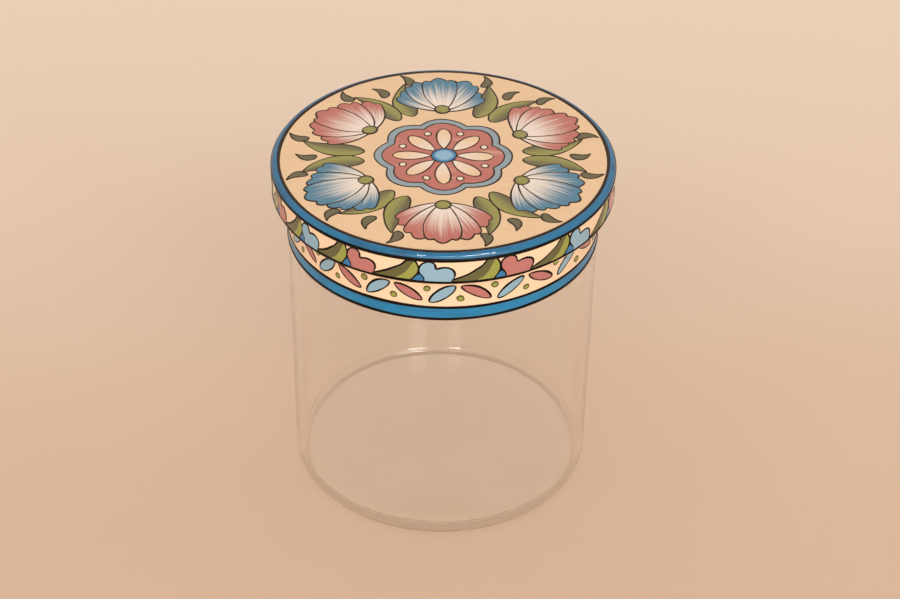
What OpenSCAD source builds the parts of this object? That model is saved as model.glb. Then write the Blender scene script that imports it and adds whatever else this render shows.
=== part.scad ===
// Glass storage jar with a painted mouth and a painted, turned lid that lifts off.
// Everything is round about the Z axis. The jar stands on the plane z = 0, and its
// front, the side that faces a viewer, looks along -Y. Lengths are in millimetres.

/* [Glass] */
// Height of the glass, from its foot to its lip
glass_h = 102; // [80:0.5:150]
// Outer diameter of the glass
glass_d = 95; // [85:0.5:110]
// Thickness of the glass wall
glass_wall = 2.4; // [1.8:0.1:3.2]
// Thickness of the glass floor over the foot ring
floor_t = 3.2; // [2.6:0.1:5]
// Radius of the outer corner between wall and foot
foot_corner_r = 4; // [3:0.1:6]
// Radius of the inner corner between wall and floor
floor_corner_r = 3; // [1.5:0.1:5]
// Width of the flat ring that the jar stands on
foot_ring_w = 5; // [3:0.5:10]
// How far the underside is pushed up at its middle
push_up = 0.8; // [0.4:0.1:1.4]
// Radius of the two fire-polished edges of the lip
lip_edge_r = 0.8; // [0.4:0.05:0.85]

/* [Painted mouth band] */
// Thickness of the paint on the glass
band_paint_t = 0.3; // [0.2:0.05:0.6]
// Bare glass between the lip and the painted band
band_drop = 0.9; // [0.9:0.1:2]
// Height of the cream ground above its stripe
band_ground_h = 10.6; // [6:0.1:16]
// Height of the blue stripe along the band's lower edge
band_stripe_h = 4.6; // [2:0.1:8]

/* [Lid disc] */
// Diameter of the lid over its paint
lid_d = 104; // [98:0.5:120]
// Thickness of the lid over its paint
lid_t = 10; // [7:0.1:16]
// Thickness of the paint on the lid
lid_paint_t = 0.3; // [0.2:0.05:0.6]
// Radius of the lid's upper edge over its paint
lid_edge_r = 1.6; // [0.8:0.1:2.5]
// Radius of the paint's lower edge on the lid's side
paint_edge_r = 0.15; // [0.05:0.05:0.18]
// Width of the blue rim on the lid's top
rim_top_w = 2; // [1:0.1:5]
// How far the blue rim comes down the lid's side
rim_drop = 1.9; // [1:0.1:5]

/* [Lid plug] */
// Depth of the plug below the disc
plug_depth = 12; // [10:0.5:20]
// Gap round the plug, inside the glass
plug_gap = 1.2; // [0.8:0.1:2]
// Chamfer along the plug's lower edge
plug_chamfer = 1.2; // [0.5:0.1:2]

/* [Seal] */
// Height of the seal ring
seal_h = 6; // [4.5:0.1:7]
// Plug left above the seal ring's groove
seal_drop = 2.2; // [1:0.1:3]
// Depth of the groove that holds the seal ring
seal_seat = 1.8; // [1:0.1:3]
// How far the seal ring's band lies below the plug's face
seal_sink = 0.2; // [0.1:0.05:0.5]
// Number of ribs round the seal ring
seal_ribs = 3; // [2:1:4]
// Thickness of one rib
seal_rib_t = 0.9; // [0.5:0.05:1]
// Gap between the ribs and the glass
seal_gap = 0.3; // [0.2:0.05:0.5]

/* [Hidden] */
$fn = 128;

// Overrun of a cut past the face it opens
over = 1;

glass_r = glass_d / 2;
bore_r = glass_r - glass_wall;
foot_outer_r = glass_r - foot_corner_r;
foot_inner_r = foot_outer_r - foot_ring_w;
// The underside between the foot ring is part of a sphere, which rises by push_up
dome_r = (foot_inner_r * foot_inner_r + push_up * push_up) / (2 * push_up);
// Fine enough that the short arc of so large a circle is still smooth
dome_facets = 3600;

band_top_z = glass_h - band_drop;
stripe_top_z = band_top_z - band_ground_h;
band_low_z = stripe_top_z - band_stripe_h;
band_r = glass_r + band_paint_t;

lid_r = lid_d / 2;
lid_low_z = glass_h;
rim_inner_r = lid_r - rim_top_w;
wood_r = lid_r - lid_paint_t;
wood_t = lid_t - lid_paint_t;

plug_r = bore_r - plug_gap;
plug_low_z = lid_low_z - plug_depth;
seal_top_z = lid_low_z - seal_drop;
seal_low_z = seal_top_z - seal_h;
seal_inner_r = plug_r - seal_seat;
seal_band_r = plug_r - seal_sink;
seal_tip_r = bore_r - seal_gap;
seal_pitch = seal_h / seal_ribs;

// Half section of a disc that stands on y = 0, with its upper edge rounded
module disc_section(radius, height, edge_r) {
    square([radius - edge_r, height]);
    square([radius, height - edge_r]);
    translate([radius - edge_r, height - edge_r])
        circle(edge_r);
}

// Half section of a pot's shape, with its lower edge rounded
module pot_section(radius, height, corner_r) {
    square([radius - corner_r, height]);
    translate([0, corner_r])
        square([radius, height - corner_r]);
    translate([radius - corner_r, corner_r])
        circle(corner_r);
}

// Section of the lip, a strip of wall with both upper edges rounded
module lip_section() {
    translate([bore_r, glass_h - lip_edge_r - over])
        square([glass_wall, over]);
    translate([bore_r + lip_edge_r, glass_h - lip_edge_r - over])
        square([glass_wall - 2 * lip_edge_r, lip_edge_r + over]);
    for (x = [bore_r + lip_edge_r, glass_r - lip_edge_r])
        translate([x, glass_h - lip_edge_r])
            circle(lip_edge_r);
}

// The clear jar: wall, rounded foot, floor with a shallow push-up, and lip
module glass_body() {
    color([0.86, 0.90, 0.88, 0.35])
        rotate_extrude()
            union() {
                difference() {
                    pot_section(glass_r, glass_h - lip_edge_r, foot_corner_r);
                    translate([0, floor_t])
                        pot_section(bore_r, glass_h, floor_corner_r);
                    intersection() {
                        translate([0, push_up - dome_r])
                            circle(dome_r, $fn = dome_facets);
                        translate([0, -over])
                            square([foot_inner_r, push_up + over]);
                    }
                }
                lip_section();
            }
}

// A coat of paint round the outside of the glass
module band_coat(low_z, height) {
    translate([0, 0, low_z])
        rotate_extrude()
            translate([glass_r, 0])
                square([band_paint_t, height]);
}

// Cream ground that the small leaves and petals are painted on
module mouth_ground() {
    color([0.98, 0.86, 0.67])
        band_coat(stripe_top_z, band_ground_h);
}

// Blue stripe along the lower edge of the painted band
module mouth_stripe() {
    color([0.20, 0.52, 0.68])
        band_coat(band_low_z, band_stripe_h);
}

// Bare wood of the lid, turned flat with a rounded upper edge
module lid_disc() {
    color([0.80, 0.64, 0.42])
        translate([0, 0, lid_low_z])
            rotate_extrude()
                disc_section(wood_r, wood_t, lid_edge_r - lid_paint_t);
}

// Section of all the paint on the lid, as one coat over its top and side
module lid_coat_section() {
    difference() {
        disc_section(lid_r, lid_t, lid_edge_r);
        disc_section(wood_r, wood_t, lid_edge_r - lid_paint_t);
        difference() {
            translate([lid_r - paint_edge_r, 0])
                square([paint_edge_r, paint_edge_r]);
            translate([lid_r - paint_edge_r, paint_edge_r])
                circle(paint_edge_r);
        }
    }
}

// Turns the stretch of the lid's paint that lies inside the box from low to high
module lid_coat(low, high) {
    translate([0, 0, lid_low_z])
        rotate_extrude()
            intersection() {
                lid_coat_section();
                translate(low)
                    square(high - low);
            }
}

// Cream ground on the lid's top, inside the blue rim
module lid_top_ground() {
    color([0.95, 0.80, 0.60])
        lid_coat([0, lid_t - rim_drop], [rim_inner_r, lid_t + over]);
}

// Blue rim round the lid's upper edge
module lid_rim_stripe() {
    color([0.20, 0.52, 0.68])
        lid_coat([rim_inner_r, lid_t - rim_drop], [lid_r + over, lid_t + over]);
}

// Cream ground round the lid's side, below the blue rim
module lid_side_ground() {
    color([0.98, 0.86, 0.67])
        lid_coat([rim_inner_r, 0], [lid_r + over, lid_t - rim_drop]);
}

// Wooden plug under the disc, with a groove for the seal ring
module lid_plug() {
    color([0.78, 0.62, 0.40])
        rotate_extrude()
            difference() {
                translate([0, plug_low_z])
                    polygon([
                        [0, 0],
                        [plug_r - plug_chamfer, 0],
                        [plug_r, plug_chamfer],
                        [plug_r, plug_depth],
                        [0, plug_depth]
                    ]);
                translate([seal_inner_r, seal_low_z])
                    square([seal_seat + over, seal_h]);
            }
}

// Silicone seal ring: a flat band with round-tipped ribs that face the glass
module seal_ring() {
    color([0.90, 0.90, 0.87])
        rotate_extrude()
            union() {
                translate([seal_inner_r, seal_low_z])
                    square([seal_band_r - seal_inner_r, seal_h]);
                for (i = [0 : seal_ribs - 1])
                    translate([0, seal_low_z + (i + 1 / 2) * seal_pitch])
                        seal_rib_section();
            }
}

// Section of one rib, centred on y = 0
module seal_rib_section() {
    translate([seal_inner_r, -seal_rib_t / 2])
        square([seal_tip_r - seal_rib_t / 2 - seal_inner_r, seal_rib_t]);
    translate([seal_tip_r - seal_rib_t / 2, 0])
        circle(seal_rib_t / 2);
}

glass_body();
mouth_ground();
mouth_stripe();
lid_disc();
lid_plug();
seal_ring();
lid_top_ground();
lid_rim_stripe();
lid_side_ground();
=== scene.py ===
"""Looks of a clear glass storage jar with a painted mouth band and a painted wooden lid.

Laid out as an add-on: the properties hold the sizes and colours that a user would change,
and each operator makes one piece or one group of like pieces. Lengths are in metres.
"""

from math import cos, pi, radians, sin, tau

import bmesh
import bpy
import numpy as np
from bpy.props import FloatProperty, FloatVectorProperty, IntProperty, PointerProperty
from mathutils import Matrix, Vector


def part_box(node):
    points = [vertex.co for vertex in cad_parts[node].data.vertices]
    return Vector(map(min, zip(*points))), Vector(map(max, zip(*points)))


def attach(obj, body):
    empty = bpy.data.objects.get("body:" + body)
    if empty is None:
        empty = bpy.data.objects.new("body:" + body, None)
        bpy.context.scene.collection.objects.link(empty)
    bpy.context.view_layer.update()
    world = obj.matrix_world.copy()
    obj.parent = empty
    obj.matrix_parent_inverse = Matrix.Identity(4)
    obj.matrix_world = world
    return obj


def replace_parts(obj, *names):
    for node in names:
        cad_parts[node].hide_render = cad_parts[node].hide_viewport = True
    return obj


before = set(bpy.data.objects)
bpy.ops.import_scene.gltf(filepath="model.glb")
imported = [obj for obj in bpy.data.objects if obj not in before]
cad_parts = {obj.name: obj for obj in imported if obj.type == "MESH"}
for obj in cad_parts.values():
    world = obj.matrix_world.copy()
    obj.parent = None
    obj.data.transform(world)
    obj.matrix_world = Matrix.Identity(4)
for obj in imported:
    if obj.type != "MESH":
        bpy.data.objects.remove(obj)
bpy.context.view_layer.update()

bl_info = {
    "name": "Painted glass jar",
    "version": (1, 0, 0),
    "blender": (4, 5, 0),
    "location": "3D View > Sidebar > Jar",
    "description": "Dresses a glass jar: clear glass, a turned lid, and hand-painted borders",
    "category": "Object",
}

MM = 0.001


def linear(hex_colour):
    """Turns an sRGB hex colour to the linear values that a shader takes."""
    values = [int(hex_colour[i : i + 2], 16) / 255 for i in (1, 3, 5)]
    return tuple(v / 12.92 if v <= 0.04045 else ((v + 0.055) / 1.055) ** 2.4 for v in values)


def reach(node):
    """Radius of a turned CAD node, in metres."""
    corners = np.array([v.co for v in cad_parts[node].data.vertices])
    return float(np.hypot(corners[:, 0], corners[:, 1]).max())


# Places on the jar, all read from the CAD model
LID_R = reach("lid_side_ground")
LID_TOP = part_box("lid_top_ground")[1].z
LID_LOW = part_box("lid_side_ground")[0].z
RIM_R = reach("lid_top_ground")
RIM_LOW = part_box("lid_rim_stripe")[0].z
WOOD_R = reach("lid_disc")
COAT_T = LID_R - WOOD_R
GLASS_R = reach("glass_body")
BAND_R = reach("mouth_ground")
BAND_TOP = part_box("mouth_ground")[1].z
STRIPE_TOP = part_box("mouth_stripe")[1].z
STRIPE_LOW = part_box("mouth_stripe")[0].z


def length(name, description, default):
    """A property that holds a length in metres."""
    return FloatProperty(
        name=name, description=description, default=default, min=0, unit="LENGTH", precision=5
    )


def angle_of(name, description, degrees):
    """A property that holds an angle, given in degrees."""
    return FloatProperty(
        name=name, description=description, default=radians(degrees), subtype="ANGLE"
    )


def paint_colour(name, description, hex_colour):
    """A property that holds a colour, given as sRGB hex."""
    return FloatVectorProperty(
        name=name, description=description, default=linear(hex_colour), min=0, max=1, subtype="COLOR"
    )


class JarBrushSizes(bpy.types.PropertyGroup):
    """What the painter's brush leaves on the lid and the glass."""

    line_w: length("Outline width", "Width of the dark outlines round every motif", 0.7 * MM)
    ring_w: length("Ring line width", "Width of the dark lines that run right round", 1.15 * MM)
    layer_t: length("Layer thickness", "Height of one layer of paint over the last", 0.04 * MM)
    room: length("Room for paint", "Depth of the bare ground below the CAD model's face", 0.17 * MM)
    sink: length("Edge sink", "How far the edge of a layer dips into the ground", 0.04 * MM)
    wobble: length("Hand wobble", "How far the brush wanders from the drawn line", 0.16 * MM)


class JarBorderSizes(bpy.types.PropertyGroup):
    """The two painted borders: leaves and blossoms on the lid, petals on the glass."""

    side_repeats: IntProperty(
        name="Blossoms round the lid", description="Leaf and blossom pairs", default=16, min=4
    )
    mouth_repeats: IntProperty(
        name="Petal pairs round the mouth", description="Pairs of petals", default=16, min=4
    )
    petal_w: length("Petal width", "Width of a petal in the mouth border", 2.9 * MM)
    dot_r: length("Dot radius", "Radius of a dot in the mouth border", 0.88 * MM)


class JarMedallionSizes(bpy.types.PropertyGroup):
    """The round painting on the lid's top."""

    field_r: length("Field radius", "Radius of the pink field, to its lobes' tips", 18.5 * MM)
    border_w: length("Border width", "Width of the grey-blue border round the field", 2.4 * MM)
    lobe_h: length("Lobe height", "How far the field's lobes stand out", 2.6 * MM)
    lobes: IntProperty(name="Lobes", description="Lobes round the pink field", default=8, min=3)
    blossom_from: length("Blossom base", "Radius at which the blossoms start", 25.5 * MM)
    blossom_h: length("Blossom height", "Height of a blossom, out towards the rim", 20.5 * MM)
    leaf_from: length("Leaf base", "Radius at which the long leaves start", 24 * MM)
    leaf_l: length("Leaf length", "Length of the long leaves between blossoms", 19 * MM)
    leaf_w: length("Leaf width", "Width of the long leaves between blossoms", 6.6 * MM)
    small_leaf_l: length("Small leaf length", "Length of the small dark leaves", 6.6 * MM)
    small_leaf_w: length("Small leaf width", "Width of the small dark leaves", 3 * MM)


class JarColours(bpy.types.PropertyGroup):
    """Colours of the paints, the bare materials and the floor."""

    cream: paint_colour("Cream", "Ground on the lid's top", "#EDC394")
    # Paler than the top's cream: partly a paint of its own, and partly painted light that makes the walls
    # read brighter than the top
    pale_cream: paint_colour("Pale cream", "Ground of the two borders", "#F6D7B3")
    blue: paint_colour("Blue", "Blue of the lid's rim", "#206C93")
    # Paler than the rim's blue: partly a paint of its own, and partly painted light that makes the wall
    # read as bright as the rim
    stripe_blue: paint_colour("Stripe blue", "Blue of the stripe on the glass", "#2681B0")
    deep_blue: paint_colour("Deep blue", "Darker streaks in the blue", "#1B5577")
    ink: paint_colour("Ink", "Blackish brown of the borders' outlines", "#120B07")
    brown_ink: paint_colour("Brown ink", "Brown of the fine outlines on the top", "#352416")
    olive_ink: paint_colour("Olive ink", "Dark olive round the dots", "#4A4522")
    pink: paint_colour("Pink", "Dusty pink of the top's motifs", "#BF6957")
    pale_pink: paint_colour("Pale pink", "Brush streaks in the pink", "#DBA083")
    border_pink: paint_colour("Border pink", "Salmon pink of the two borders", "#B7756F")
    light_blue: paint_colour("Light blue", "Light blue of the motifs", "#8CB2C5")
    bud_blue: paint_colour("Bud blue", "Strong blue of the buds", "#2C77A6")
    flower_blue: paint_colour("Flower blue", "Greyed blue at the tips of the top's petals", "#4B7A90")
    grey_blue: paint_colour("Grey-blue", "Border round the pink field", "#919C9F")
    petal_white: paint_colour("Petal white", "Pale inside of the blossoms", "#F1DCC8")
    olive: paint_colour("Olive", "Dark side of the leaves", "#605E37")
    leaf_green: paint_colour("Leaf green", "Light side of the leaves", "#959A49")
    warm_olive: paint_colour("Warm olive", "Dark leaves on the lid's top", "#65582D")
    warm_green: paint_colour("Warm green", "Light side of the leaves on the lid's top", "#978E3E")
    wood: paint_colour("Wood", "Bare turned wood", "#C79F6B")
    wood_dark: paint_colour("Wood grain", "Late wood in the grain", "#A87B48")
    silicone: paint_colour("Silicone", "Milky silicone rubber", "#E4E2DA")
    floor: paint_colour("Floor", "Plain pale floor", "#DAB79B")
    # Painted light: the floor behind the jar is painted paler, as if more light fell there
    far_floor_painted_light: paint_colour("Far floor", "The floor behind the jar, where more light falls", "#F1D9C1")


class JarStageSizes(bpy.types.PropertyGroup):
    """Where the camera stands, how it looks at the jar, and how large the floor is."""

    camera_back: length("Camera distance", "From the jar's axis back to the camera", 0.5218)
    camera_up: length("Camera height", "From the floor up to the camera", 0.4476)
    camera_down: angle_of("Camera pitch", "Angle down", 36.75)
    camera_yaw: angle_of("Camera yaw", "Angle to the right", 0.285)
    camera_roll: angle_of("Camera roll", "Turn of the picture", 0.892)
    lens: FloatProperty(name="Lens", description="Focal length in millimetres", default=51.0)
    sensor: FloatProperty(name="Sensor", description="Sensor width in millimetres", default=22.3)
    floor_w: length("Floor size", "Width of the square floor", 6.0)


# Material helpers


def add(tree, kind, inputs=None, **settings):
    """Adds a shader node with its settings and links.

    An input is a value, the output that is linked to it, or a node, whose first output is.
    """
    made = tree.nodes.new("ShaderNode" + kind)
    for name, value in settings.items():
        setattr(made, name, value)
    for name, value in (inputs or {}).items():
        if isinstance(value, bpy.types.Node):
            value = value.outputs[0]
        if isinstance(value, bpy.types.NodeSocket):
            tree.links.new(value, made.inputs[name])
        else:
            made.inputs[name].default_value = value
    return made


def blank(name):
    """A new material, and its empty tree."""
    material = bpy.data.materials.new(name)
    material.use_nodes = True
    material.node_tree.nodes.clear()
    return material, material.node_tree


def rgba(colour):
    """A colour with the fourth value that a socket takes."""
    return (*colour, 1.0)


def toned(colour, share):
    """The same colour, deeper where share is under 1 and paler where it is over."""
    return tuple(share * c for c in colour)


# Sockets of the colour Mix node, whose names repeat
MIX_A, MIX_B, MIX_RESULT = 6, 7, 2
VARNISH_IOR = 1.5
# Roughness of the varnish, from the hollows between the ridges to their tops
VARNISH_ROUGHNESS = (0.02, 0.08)
# Height of the ridges that a soft brush leaves, and how much of it the varnish still shows
RIDGE_H = 0.03 * MM
RIDGE_STRENGTH = 0.15
# Size of the cloudy patches where a coat is thicker
CLOUD_SIZE = 9 * MM
# Sets the streaks of one motif apart from those of the next
SEED_SCALE = 7.0
# How much less the drawn lines shine than the rest, because they were drawn over the varnish
INK_SHINE = 0.12


def streaks(tree, vector, scale, detail=2.0):
    """Brush streaks: noise that is drawn out where scale is small."""
    drawn = add(tree, "VectorMath", {0: vector, 1: scale}, operation="MULTIPLY")
    return add(tree, "TexNoise", {"Vector": drawn, "Scale": 1.0, "Detail": detail})


def two_tone(tree, value, low, high, one, other):
    """One tone where value is under low, the other over high, and a soft change between."""
    span = {"Value": value, "From Min": low, "From Max": high}
    share = add(tree, "MapRange", span, interpolation_type="SMOOTHSTEP")
    tones = {0: share, MIX_A: rgba(one), MIX_B: rgba(other)}
    return add(tree, "Mix", tones, data_type="RGBA").outputs[MIX_RESULT]


def varnished(tree, colour, ridges, shine=0.5):
    """Acrylic paint under gloss varnish: its sharp gloss is broken up by low brush ridges."""
    low, high = VARNISH_ROUGHNESS
    bump = add(tree, "Bump", {"Height": ridges, "Strength": RIDGE_STRENGTH, "Distance": RIDGE_H})
    rough = add(tree, "MapRange", {"Value": ridges, "To Min": low, "To Max": high})
    look = {
        "Base Color": colour,
        "Roughness": rough,
        "IOR": VARNISH_IOR,
        "Specular IOR Level": shine,
        "Normal": bump,
    }
    add(tree, "OutputMaterial", {"Surface": add(tree, "BsdfPrincipled", look)})


def coat_paint(name, colour, other, run, share=0.5, shine=0.5):
    """Paint of a whole coat: long faint streaks, and soft clouds where it dried thicker.

    run is the drawn-out scale of its streaks, per metre, in the jar's frame, and share is how
    much of the coat has the other tone.
    """
    material, tree = blank(name)
    place = add(tree, "TexCoord").outputs["Object"]
    ridges = streaks(tree, place, run)
    cloud = add(tree, "TexNoise", {"Vector": place, "Scale": 1 / CLOUD_SIZE, "Detail": 1.0})
    both = add(tree, "Math", {0: ridges, 1: cloud}, operation="MULTIPLY")
    tone = two_tone(tree, both, 0.36 - 0.3 * share, 0.6 - 0.2 * share, colour, other)
    varnished(tree, tone, ridges, shine)
    return material


def motif_paint(
    name, colour, other, lean=(0, 0), low=0.4, high=0.8, ridges=(1.5, 9), feather=0.5, shine=0.5
):
    """Paint of a motif: two tones that run into each other along the strokes of a soft brush.

    The stroke attribute runs 0 to 1 along the brush stroke and across it. lean says how much of
    each the change from colour to other follows, low and high say where it starts and ends,
    ridges how many there are along and across, and feather how ragged they leave the change.
    """
    material, tree = blank(name)
    stroke = add(tree, "Attribute", attribute_name="stroke").outputs["Vector"]
    ridge = streaks(tree, stroke, (*ridges, SEED_SCALE))
    along = add(tree, "VectorMath", {0: stroke, 1: (*lean, 0)}, operation="DOT_PRODUCT")
    mixed = {0: ridge, 1: feather, 2: along.outputs["Value"]}
    ragged = add(tree, "Math", mixed, operation="MULTIPLY_ADD")
    tone = two_tone(tree, ragged, low + feather / 2, high + feather / 2, colour, other)
    varnished(tree, tone, ridge, shine)
    return material


def one_paint(name, colour, share, ridges=(1.5, 9)):
    """Paint of a motif in one colour, which is deeper or paler by share along its streaks."""
    return motif_paint(name, colour, toned(colour, share), ridges=ridges)


def ink_paint(name, ink):
    """Thinned dark acrylic, drawn with a liner brush: nearly black, and duller than the rest."""
    paler = toned(ink, 1.8)
    return motif_paint(
        name, ink, paler, low=0.1, high=0.4, ridges=(8, 3), feather=1.0, shine=INK_SHINE
    )


# Shapes on a flat sheet: the first axis runs right, the second up, in metres


def eased(count):
    """Shares from 0 to 1 that lie closer together near both ends."""
    return (1 - np.cos(np.linspace(0, pi, count))) / 2


def through(points, count=24):
    """A smooth curve through a few points."""
    p = np.array(points, float)
    ends = np.vstack([2 * p[0] - p[1], p, 2 * p[-1] - p[-2]])
    place = eased(count) * (len(p) - 1)
    k = np.minimum(place.astype(int), len(p) - 2)
    f = (place - k)[:, None]
    a, b, c, d = (ends[k + i] for i in range(4))
    bends = (c - a) * f + (2 * a - 5 * b + 4 * c - d) * f**2 + (3 * b - a - 3 * c + d) * f**3
    return b + bends / 2


def blade(back, front, columns=11):
    """A grid between two curves that share both their ends."""
    t = np.linspace(0, 1, columns)[None, :, None]
    return back[:, None] * (1 - t) + front[:, None] * t


def petal(base, tip, width, root=1.0, point=0.5, bend=0.0, hook=0.0, rows=26, columns=11):
    """A grid from base to tip. root and point are 1 for a sharp end and 0.5 for a round one.

    bend bows it to its left, and hook turns only its tip that way.
    """
    base, tip = Vector(base), Vector(tip)
    way = np.array(tip - base)
    side = np.array([-way[1], way[0]]) / np.hypot(*way)
    s = eased(rows)
    widest = root / (root + point)
    half = width / 2 * (s / widest) ** root * ((1 - s) / (1 - widest)) ** point
    aside = bend * 4 * s * (1 - s) + hook * s**4
    spine = np.array(base) + s[:, None] * way + aside[:, None] * side
    across = np.linspace(-1, 1, columns)
    return spine[:, None] + (half[:, None] * across)[..., None] * side


# How deep the lobes of a fan petal's far edge are, and how far its shoulders fall
FAN_LOBE_SHARE = 0.1
FAN_SHOULDER_SHARE = 0.16
# Its width follows a sine over this many half turns, raised to this power
FAN_SWELL, FAN_FULLNESS = 0.62, 0.8


def fan_petal(height, width, lobes, rows=26, columns=31):
    """A petal along the first axis whose far edge has lobes. It is widest near its far end."""
    across = np.linspace(-1, 1, columns)
    s = eased(rows)[:, None]
    lobe = 1 - FAN_LOBE_SHARE * (1 - np.abs(np.cos(across * pi * lobes / 2)))
    far = height * lobe * (1 - FAN_SHOULDER_SHARE * across**4)
    half = width / 2 * np.sin(s * pi * FAN_SWELL) ** FAN_FULLNESS
    return np.stack(np.broadcast_arrays(s * far, half * across), -1)


def spread(centre, outline, rings=8):
    """A grid of rings from a centre out to a closed outline."""
    centre = np.array(centre, float)
    f = np.sqrt(np.linspace(0, 1, rings))[:, None, None]
    return centre + f * (np.array(outline) - centre)[None]


def circle(centre, radius, count=40):
    """A closed ring of points."""
    angle = np.linspace(0, tau, count, endpoint=False)
    return np.array(centre) + radius * np.stack([np.cos(angle), np.sin(angle)], -1)


def lobed_circle(radius, lobe_h, lobes, count=360):
    """A closed ring with round lobes that reach out to radius."""
    angle = np.linspace(0, tau, count, endpoint=False)
    far = radius - lobe_h * (1 - np.abs(np.cos(lobes * angle / 2)))
    return far[:, None] * np.stack([np.cos(angle), np.sin(angle)], -1)


def turned_by(points, angle, out=0.0):
    """Points moved out along the first axis, then turned round the sheet's origin."""
    moved = points + np.array([out, 0.0])
    x, y = moved[..., 0], moved[..., 1]
    return np.stack([x * cos(angle) - y * sin(angle), x * sin(angle) + y * cos(angle)], -1)


# Steps along an outline that are shorter than this are left out
LEAST_STEP = 0.001 * MM


def edge_of(grid):
    """The closed outline of a grid whose first and last rows may be points."""
    loop = np.concatenate([grid[0, :-1], grid[:-1, -1], grid[-1, :0:-1], grid[:0:-1, 0]])
    return loop[np.hypot(*(loop - np.roll(loop, 1, 0)).T) > LEAST_STEP]


def evenly(path, step, closed):
    """The same path with points at even steps."""
    if closed:
        path = np.vstack([path, path[:1]])
    run = np.concatenate([[0], np.cumsum(np.hypot(*np.diff(path, axis=0).T))])
    count = max(6, round(run[-1] / step))
    at = np.linspace(0, run[-1], count + 1)
    even = np.stack([np.interp(at, run, path[:, i]) for i in range(2)], -1)
    return even[:-1] if closed else even


# Where a sheet lies on the jar

# Width of the eased edge of a coat, which no motif runs over
EDGE_EASE = 0.1 * MM
# How often the painter's spacing strays to and fro on the way round, and where that starts
STRAY_TIMES = 3
STRAY_START = 0.2


def on_top(points, lift):
    """Places sheet points on the lid's top, lifted off its ground."""
    z = LID_TOP - bpy.context.scene.jar_brush.room + lift
    return np.stack(np.broadcast_arrays(points[..., 0], points[..., 1], z), -1)


def on_round(radius, low, drift):
    """Gives the function that places sheet points round a wall: right from the front, and up.

    drift is how far, in radians, the painter's spacing strays: to one side at the back, apart
    at the front, and to and fro on the way round.
    """

    def place(points, lift):
        """Places sheet points on the wall, lifted off its ground."""
        even = points[..., 0] / radius
        angle = even + drift[0] * (1 - np.cos(even)) + drift[1] * np.sin(even)
        angle = angle + drift[2] * np.sin(STRAY_TIMES * even + STRAY_START) - pi / 2
        far = radius - bpy.context.scene.jar_brush.room + lift
        high = low + np.maximum(points[..., 1], EDGE_EASE)
        return np.stack(np.broadcast_arrays(far * np.cos(angle), far * np.sin(angle), high), -1)

    return place


def by_hand(points, amount, size):
    """Points nudged along slow waves, as a hand would draw them."""
    x, y = points[..., 0] / size, points[..., 1] / size
    right = np.sin(x + 1.3 * y + 0.4) + 0.6 * np.sin(2.3 * y - 0.7 * x + 2.0)
    up = np.sin(1.1 * x - y + 1.7) + 0.6 * np.sin(1.9 * x + 0.8 * y)
    return points + amount * np.stack([right, up], -1)


def waves(at, rows, seed):
    """A sum of waves. A row has how often each comes, how high, and how far seed shifts it."""
    return sum(high * np.sin(often * at + by * seed) for often, high, by in rows)


# Size of the waves that a hand leaves in a drawn line
HAND_WAVE = 5 * MM
# How unevenly the brush presses along a line, in waves
PRESS_WAVES = ((9.5, 0.16, 5), (23, 0.12, 3))
# Length of one step along a line, as a share of its width
LINE_STEP_SHARE = 0.7
# Points closer than this are one point
SAME_POINT = 0.0002 * MM


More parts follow.
